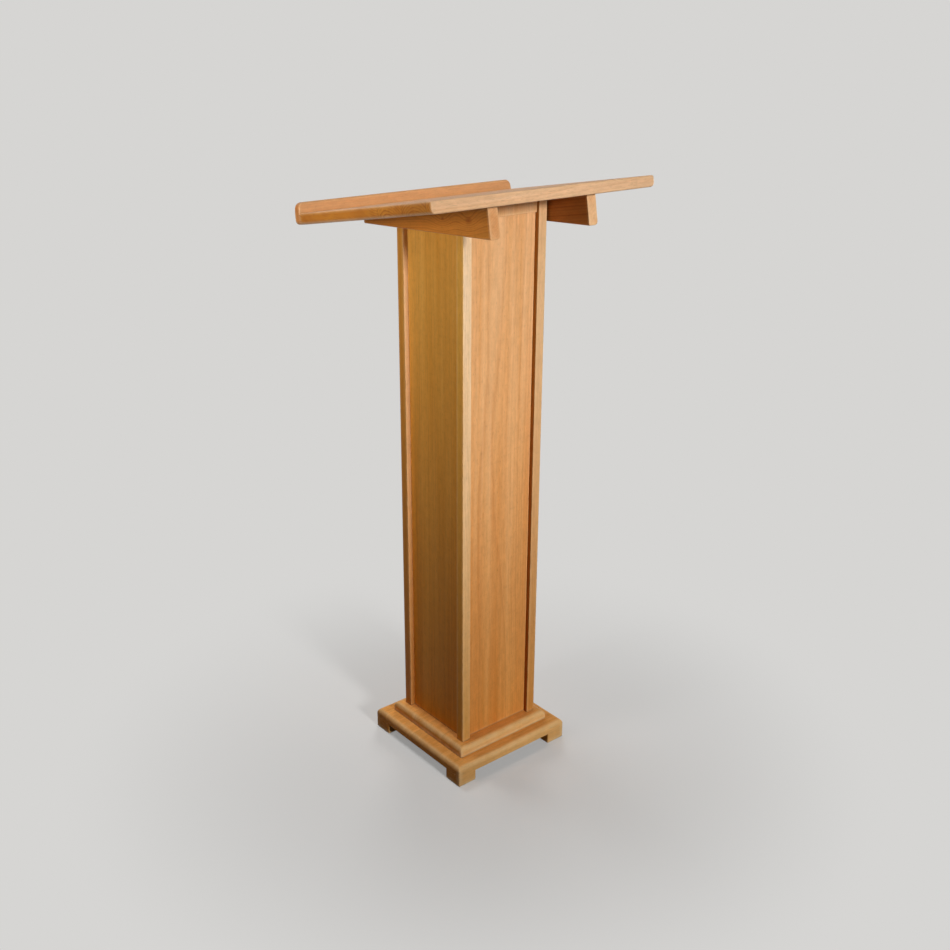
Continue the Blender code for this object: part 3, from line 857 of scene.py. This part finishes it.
low, high = slope_box("desk_board")
shape = block(low, high)
round_edges(shape, end_edges(shape, low, high, low.z), DESK_UNDER_ROUND, ROUND_SEGMENTS)
round_edges(shape, end_edges(shape, low, high, high.z), DESK_TOP_ROUND, EASE_SEGMENTS)
front_edges = edges_where(shape, lambda middle, axis: middle.y < low.y + NEARBY)
round_edges(shape, front_edges, DESK_FRONT_EASE, EASE_SEGMENTS)
tilt_shape(shape)
finish = timber_finish(
    "desk_board_finish",
    (low, high),
    "x",
    (0.0, low.y, low.z),
    DESK_TONES,
    DESK_SEED,
    figure=DESK_FIGURE,
    deep_figure=DESK_END_FIGURE,
    deep_tint=DESK_END_TINT,
    level_tint=DESK_LEVEL_TINT,
    lie=slope,
    stave=(DESK_FIRST_STAVE, DESK_STAVE),
)
add_piece("desk_board", shape, finish, "desk_wood")


# Book stop
# A strip along the reader's edge that keeps papers from sliding off, dowelled and glued on.
# It stands above the desk, and its ends and upper edges are rounded.

STOP_END_ROUND = 0.013
STOP_UNDER_ROUND = 0.010
STOP_UNDER_REACH = 0.0003
STOP_EASE = 0.003
STOP_TONES = (paint(218, 168, 120), paint(206, 148, 98), paint(166, 102, 52))
STOP_PITH = (0.02, -0.06)
STOP_SEED = 79.0

low, high = slope_box("book_stop")
shape = block(low, high)
round_edges(shape, end_edges(shape, low, high, high.z), STOP_END_ROUND, ROUND_SEGMENTS)
round_edges(shape, end_edges(shape, low, high, low.z), DESK_UNDER_ROUND, ROUND_SEGMENTS)
under_edge = edges_where(
    shape,
    lambda middle, axis: axis == "x"
    and middle.z < low.z + STOP_UNDER_REACH
    and middle.y > high.y - STOP_UNDER_REACH,
)
round_edges(shape, under_edge, STOP_UNDER_ROUND, ROUND_SEGMENTS)
rim = edges_where(
    shape,
    lambda middle, axis: axis != "y" and middle.z > high.z - STOP_END_ROUND,
)
round_edges(shape, rim, STOP_EASE, EASE_SEGMENTS)
tilt_shape(shape)
pith = (0.0, high.y + STOP_PITH[0], low.z + STOP_PITH[1])
finish = timber_finish("book_stop_finish", (low, high), "x", pith, STOP_TONES, STOP_SEED, lie=slope)
add_piece("book_stop", shape, finish, "desk_wood")


# Bearers
# Two like cleats that taper towards the reader, screwed up into the desk beside the column.
# The wood has small knots and painted shade on its side faces, and each lower right edge is rounded.

BEARER_ROUND = 0.007
BEARER_SMALL_ROUND = 0.0025
BEARER_EASE = 0.0012
BEARER_TIP = 0.0107
BEARER_TONES = {
    "left": (paint(222, 168, 118), paint(210, 148, 94), paint(160, 94, 42)),
    "right": (paint(236, 192, 146), paint(226, 172, 122), paint(160, 94, 42)),
}
# Painted shade on the bearers' side faces, deeper on the right bearer.
BEARER_SIDE_SHADE_TINTS = {"left": (0.90, 0.65, 0.19, 1.0), "right": (0.64, 0.40, 0.16, 1.0)}
BEARER_SIDE_FIGURE = 0.6
BEARER_PITH = Vector((0.05, 0.0, -0.03))
BEARER_SEED = 83.0
KNOT_REACH = 0.020
KNOT_RISE = 0.014
KNOT_STRETCH = (0.0, 0.7, 1.0)
KNOT_DARKNESS = 0.8
KNOT_PLACES = {
    "left": ((0.126, 0.0126, 0.004), (0.054, 0.019, 0.008)),
    "right": ((0.212, 0.020, 0.005),),
}


def knot_group():
    """A knot right through a board from side to side: it lifts the rings and has a dark core."""
    tree, inlet, outlet = new_group(
        "knot",
        {
            "Vector": "Vector",
            "Centre": "Vector",
            "Reach": "Float",
            "Height": "Float",
            "Core": "Float",
        },
        {"Rise": "Float", "Core": "Float"},
    )
    away = calculate_vector(tree, "SUBTRACT", inlet["Vector"], inlet["Centre"])
    away = calculate_vector(tree, "MULTIPLY", away, KNOT_STRETCH)
    away = calculate_vector(tree, "LENGTH", away)
    share = calculate(tree, "DIVIDE", away, inlet["Reach"])
    share = calculate(tree, "POWER", share, 2.0)
    share = calculate(tree, "EXPONENT", calculate(tree, "MULTIPLY", share, -1.0))
    tree.links.new(calculate(tree, "MULTIPLY", share, inlet["Height"]), outlet["Rise"])
    core = calculate(tree, "DIVIDE", away, inlet["Core"])
    core = spread(tree, core, 0.0, 1.0, KNOT_DARKNESS, 0.0)
    tree.links.new(core, outlet["Core"])
    return tree


knot = knot_group()


def knots_at(centres):
    """A function that adds knots with these centres and core radii to a finish."""

    def add_knots(tree, place):
        rise, core = 0.0, 0.0
        for centre, radius in centres:
            inputs = {
                "Vector": place,
                "Centre": centre,
                "Reach": KNOT_REACH,
                "Height": KNOT_RISE,
                "Core": radius,
            }
            one = add_node(tree, "ShaderNodeGroup", inputs, node_tree=knot).outputs
            rise = calculate(tree, "ADD", one["Rise"], rise)
            core = calculate(tree, "MAXIMUM", one["Core"], core)
        return {"Knot Rise": rise, "Knot Core": core}

    return add_knots


for number, side in enumerate(SIDES):
    node = "bearer_" + side
    low, high = slope_box(node)
    shape = block(low, high)
    underside = face_towards(shape, -UP)
    tip = [vert for vert in underside.verts if vert.co.y > low.y + NEARBY]
    bmesh.ops.translate(shape, vec=(0, 0, high.z - low.z - BEARER_TIP), verts=tip)
    for x, radius in ((high.x, BEARER_ROUND), (low.x, BEARER_SMALL_ROUND)):
        lower = edges_where(
            shape,
            lambda middle, axis: axis == "y"
            and abs(middle.x - x) < NEARBY
            and middle.z < high.z - BEARER_EASE,
        )
        round_edges(shape, lower, radius, ROUND_SEGMENTS)
    front_end = edges_where(shape, lambda middle, axis: middle.y < low.y + NEARBY)
    round_edges(shape, front_end, BEARER_EASE, EASE_SEGMENTS)
    screws = [slope_box(f"bearer_screw_{end}_{side}") for end in ("front", "middle", "back")]
    shape = bore(shape, screws, low.z - MOUTH_PAST)
    tilt_shape(shape)
    centres = [
        ((0, low.y + back, high.z - down), radius) for back, down, radius in KNOT_PLACES[side]
    ]
    finish = timber_finish(
        node + "_finish",
        (low, high),
        "y",
        low + BEARER_PITH,
        BEARER_TONES[side],
        BEARER_SEED + number,
        deep_figure=BEARER_SIDE_FIGURE,
        deep_axis="x",
        deep_tint=BEARER_SIDE_SHADE_TINTS[side],
        lie=slope,
        knots=knots_at(centres),
    )
    add_piece(node, shape, finish, "bearer_wood")


# Screws
# Countersunk wood screws of zinc-plated steel, rolled, with a cross recess for the driver.
# They hold the feet, the boards of the base, the posts, the desk and the bearers.

SCREW_SIDES = 24
SCREW_RIM = 0.0002
SHANK_RADIUS = 0.0018
CORE_RADIUS = 0.0013
THREAD_RADIUS = 0.0020
THREAD_ROOT = 0.0011
THREAD_HALF_WIDTH = 0.0005
THREAD_PITCH = 0.0018
THREAD_STEPS = 16
THREAD_SHARE = 0.62
SCREW_POINT = 0.0040
BLUNT_POINT = 0.15
RECESS_SLOT = 0.0010
RECESS_ARM = 0.0018
RECESS_DEPTH = 0.0016
RECESS_TAPER = 0.45
MERGE_DISTANCE = 0.00001
ZINC_COLOURS = (paint(186, 182, 170), paint(150, 146, 134))
ZINC_ROUGHNESS = (0.25, 0.5)
ZINC_CLOUDS_PER_METRE = 350.0
ZINC_DETAIL = 4.0
ZINC_SPAN = (0.2, 0.8)
ZINC_DEPTH = 0.0002


def cross_cutter():
    """A cross with four arms that narrows upwards, as the tip of a driver does."""
    half = Vector((RECESS_SLOT / 2, RECESS_SLOT / 2, RECESS_DEPTH))
    cutter = block(-half, half)
    for outward in OUTWARD.values():
        side = face_towards(cutter, outward)
        arm = bmesh.ops.extrude_discrete_faces(cutter, faces=[side])["faces"][0]
        bmesh.ops.translate(cutter, vec=outward * RECESS_ARM, verts=arm.verts)
    tip = [vert for vert in cutter.verts if vert.co.z > 0]
    bmesh.ops.scale(cutter, vec=(RECESS_TAPER, RECESS_TAPER, 1), verts=tip)
    return cutter


def wood_screw(head_radius, length):
    """A screw that stands on its head at the origin, with its point up."""
    thread_start = length * (1 - THREAD_SHARE)
    outline = [
        (0, 0),
        (head_radius - SCREW_RIM, 0),
        (head_radius, SCREW_RIM),
        (SHANK_RADIUS, SCREW_HEAD),
        (SHANK_RADIUS, thread_start - THREAD_HALF_WIDTH),
        (CORE_RADIUS, thread_start),
        (CORE_RADIUS, length - SCREW_POINT),
        (0, length),
    ]
    shape = bmesh.new()
    verts = [shape.verts.new((radius, 0, height)) for radius, height in outline]
    edges = [shape.edges.new(pair) for pair in zip(verts, verts[1:])]
    axle = {"cent": (0, 0, 0), "axis": UP}
    bmesh.ops.spin(
        shape,
        geom=verts + edges,
        angle=math.tau,
        steps=SCREW_SIDES,
        use_merge=True,
        **axle,
    )
    bmesh.ops.remove_doubles(shape, verts=shape.verts, dist=MERGE_DISTANCE)
    bmesh.ops.recalc_face_normals(shape, faces=shape.faces)
    shape = cut_away(shape, cross_cutter())

    turns = int((length - SCREW_POINT / 2 - thread_start) / THREAD_PITCH)
    section = [
        (THREAD_ROOT, -THREAD_HALF_WIDTH),
        (THREAD_RADIUS, 0),
        (THREAD_ROOT, THREAD_HALF_WIDTH),
    ]
    verts = [shape.verts.new((radius, 0, thread_start + height)) for radius, height in section]
    ridge = shape.faces.new(verts)
    body = set(shape.verts) - set(verts)
    bmesh.ops.spin(
        shape,
        geom=[*verts, *ridge.edges, ridge],
        angle=math.tau * turns,
        steps=THREAD_STEPS * turns,
        dvec=UP * THREAD_PITCH / THREAD_STEPS,
        **axle,
    )
    for vert in set(shape.verts) - body:
        past = vert.co.z - (length - SCREW_POINT)
        taper = 1 - max(past, 0) / SCREW_POINT
        vert.co.xy *= max(taper, BLUNT_POINT)
    bmesh.ops.recalc_face_normals(shape, faces=shape.faces)
    return shape


def screw_finish():
    material = bpy.data.materials.new("screw_finish")
    material.use_nodes = True
    tree = material.node_tree
    shader = tree.nodes["Principled BSDF"]
    place = add_node(tree, "ShaderNodeTexCoord", {}).outputs["Object"]
    clouds = {"Vector": place, "Scale": ZINC_CLOUDS_PER_METRE, "Detail": ZINC_DETAIL}
    clouds = add_node(tree, "ShaderNodeTexNoise", clouds).outputs["Fac"]
    colour = mix_colours(tree, clouds, *ZINC_COLOURS)
    tree.links.new(colour, shader.inputs["Base Color"])
    roughness = spread(tree, clouds, *ZINC_SPAN, *ZINC_ROUGHNESS)
    tree.links.new(roughness, shader.inputs["Roughness"])
    bump = {"Height": clouds, "Strength": BUMP_STRENGTH, "Distance": ZINC_DEPTH}
    bump = add_node(tree, "ShaderNodeBump", bump).outputs["Normal"]
    tree.links.new(bump, shader.inputs["Normal"])
    shader.inputs["Metallic"].default_value = 1.0
    return material


zinc = screw_finish()
for node in [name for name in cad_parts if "_screw_" in name]:
    sloping = node.startswith(("desk", "bearer"))
    low, high = slope_box(node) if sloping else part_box(node)
    middle = (low + high) / 2
    shape = wood_screw((high.x - low.x) / 2, high.z - low.z)
    bmesh.ops.translate(shape, vec=(middle.x, middle.y, low.z), verts=shape.verts)
    if sloping:
        tilt_shape(shape)
    add_piece(node, shape, zinc, "screw_steel")


# Dowels
# Three short beech pins, glued half in the desk board and half in the book stop.
# They keep the stop from being pushed off by what leans on it.

DOWEL_PITH = -0.03
DOWEL_SEED = 91.0

for number, place in enumerate(("left", "middle", "right")):
    node = "stop_dowel_" + place
    low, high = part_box(node)
    pith = (low.x + DOWEL_PITH, 0, low.z)
    seed = DOWEL_SEED + number
    finish_node(node, timber_finish(node + "_finish", (low, high), "y", pith, INNER_TONES, seed))


# Floor, light and camera
# A plain pale floor that runs into an even backdrop. A soft key lamp stands in front, with a low
# one for the base, a fill at the left, one overhead and one behind at the right.
# The camera stands where the photograph was taken.

FLOOR_HALF = 60.0
FLOOR_COLOUR = paint(240, 239, 237)
FLOOR_ROUGHNESS = 0.9
FLOOR_GLOSS = 0.1
BACKDROP_COLOUR = paint(214, 213, 211)
BOUNCE_COLOUR = paint(64, 54, 42)
BACKDROP_NEAR = 0.15
BACKDROP_FAR = 0.9
BACKDROP_SHARE = 0.35
SKY_STRENGTH = 0.04


def seen_rays(tree):
    """The share of rays that come from the camera, a gloss or a glass, and show the backdrop."""
    path = add_node(tree, "ShaderNodeLightPath", {}).outputs
    seen = calculate(tree, "MAXIMUM", path["Is Camera Ray"], path["Is Glossy Ray"])
    return calculate(tree, "MAXIMUM", seen, path["Is Transmission Ray"])


shape = bmesh.new()
bmesh.ops.create_grid(shape, x_segments=1, y_segments=1, size=FLOOR_HALF)
floor = loose_object(shape, "floor")
floor_finish = bpy.data.materials.new("floor_finish")
floor_finish.use_nodes = True
tree = floor_finish.node_tree
near = tree.nodes["Principled BSDF"]
near.inputs["Base Color"].default_value = FLOOR_COLOUR
near.inputs["Roughness"].default_value = FLOOR_ROUGHNESS
near.inputs["Specular IOR Level"].default_value = FLOOR_GLOSS
far = add_node(tree, "ShaderNodeEmission", {"Color": BACKDROP_COLOUR, "Strength": 1.0})
bounce = add_node(tree, "ShaderNodeBsdfDiffuse", {"Color": BOUNCE_COLOUR})
place = add_node(tree, "ShaderNodeTexCoord", {}).outputs["Object"]
distance = calculate_vector(tree, "LENGTH", place)
fade = spread(tree, distance, BACKDROP_NEAR, BACKDROP_FAR, BACKDROP_SHARE, 1.0, "SMOOTHSTEP")
shown = {0: fade, 1: near.outputs[0], 2: far.outputs[0]}
shown = add_node(tree, "ShaderNodeMixShader", shown).outputs[0]
surface = {0: seen_rays(tree), 1: bounce.outputs[0], 2: shown}
surface = add_node(tree, "ShaderNodeMixShader", surface).outputs[0]
from_below = add_node(tree, "ShaderNodeNewGeometry", {}).outputs["Backfacing"]
clear = add_node(tree, "ShaderNodeBsdfTransparent", {}).outputs[0]
surface = {0: from_below, 1: surface, 2: clear}
surface = add_node(tree, "ShaderNodeMixShader", surface).outputs[0]
tree.links.new(surface, tree.nodes["Material Output"].inputs["Surface"])
floor.data.materials.append(floor_finish)

world = bpy.data.worlds.new("sky")
world.use_nodes = True
tree = world.node_tree
sky = tree.nodes["Background"]
sky.inputs["Color"].default_value = (1.0, 1.0, 1.0, 1.0)
sky.inputs["Strength"].default_value = SKY_STRENGTH
backdrop = add_node(tree, "ShaderNodeBackground", {"Color": BACKDROP_COLOUR, "Strength": 1.0})
surface = {0: seen_rays(tree), 1: sky.outputs[0], 2: backdrop.outputs[0]}
surface = add_node(tree, "ShaderNodeMixShader", surface).outputs[0]
tree.links.new(surface, tree.nodes["World Output"].inputs["Surface"])
bpy.context.scene.world = world


def add_lamp(name, place, target, size, power, beam=180):
    """A round soft lamp that shines at a target, with a beam of so many degrees."""
    lamp = bpy.data.lights.new(name, "AREA")
    lamp.shape = "DISK"
    lamp.size = size
    lamp.energy = power
    lamp.spread = math.radians(beam)
    holder = bpy.data.objects.new(name, lamp)
    holder.location = place
    holder.rotation_euler = (Vector(target) - Vector(place)).to_track_quat("-Z", "Y").to_euler()
    holder.visible_camera = False
    bpy.context.scene.collection.objects.link(holder)
    return holder


add_lamp("key", (-0.42, -5.0, 2.48), (0, 0, 0.84), size=1.0, power=6.1, beam=26)
add_lamp("low", (0.35, -2.0, 0.6), (0.1, -0.13, 0.03), size=0.3, power=0.062, beam=16)
add_lamp("fill", (-1.05, 0.12, 1.2), (0, 0, 1.1), size=0.25, power=2.5, beam=135)
add_lamp("top", (-0.4, 2.4, 4.4), (0, 0, 0.3), size=1.5, power=50)
rear = add_lamp("rear", (1.9, 2.2, 1.6), (0, 0, 0.7), size=1.5, power=36)
rear.visible_glossy = False

CAMERA_PLACE = Vector((-1.4113, -1.7108, 1.5002))
CAMERA_AZIMUTH = math.radians(-39.649)
CAMERA_ELEVATION = math.radians(21.761)
CAMERA_ROLL = math.radians(0.313)
CAMERA_LENS = 44.63

back = Vector((
    math.sin(CAMERA_AZIMUTH) * math.cos(CAMERA_ELEVATION),
    -math.cos(CAMERA_AZIMUTH) * math.cos(CAMERA_ELEVATION),
    math.sin(CAMERA_ELEVATION),
))
right = Vector((math.cos(CAMERA_AZIMUTH), math.sin(CAMERA_AZIMUTH), 0))
upright = Matrix((right, back.cross(right), back)).transposed()
camera = bpy.data.objects.new("camera", bpy.data.cameras.new("camera"))
camera.data.lens = CAMERA_LENS
camera.matrix_world = Matrix.LocRotScale(
    CAMERA_PLACE, upright @ Matrix.Rotation(CAMERA_ROLL, 3, "Z"), None
)
bpy.context.scene.collection.objects.link(camera)
bpy.context.scene.camera = camera
bpy.context.scene.view_settings.view_transform = "Standard"
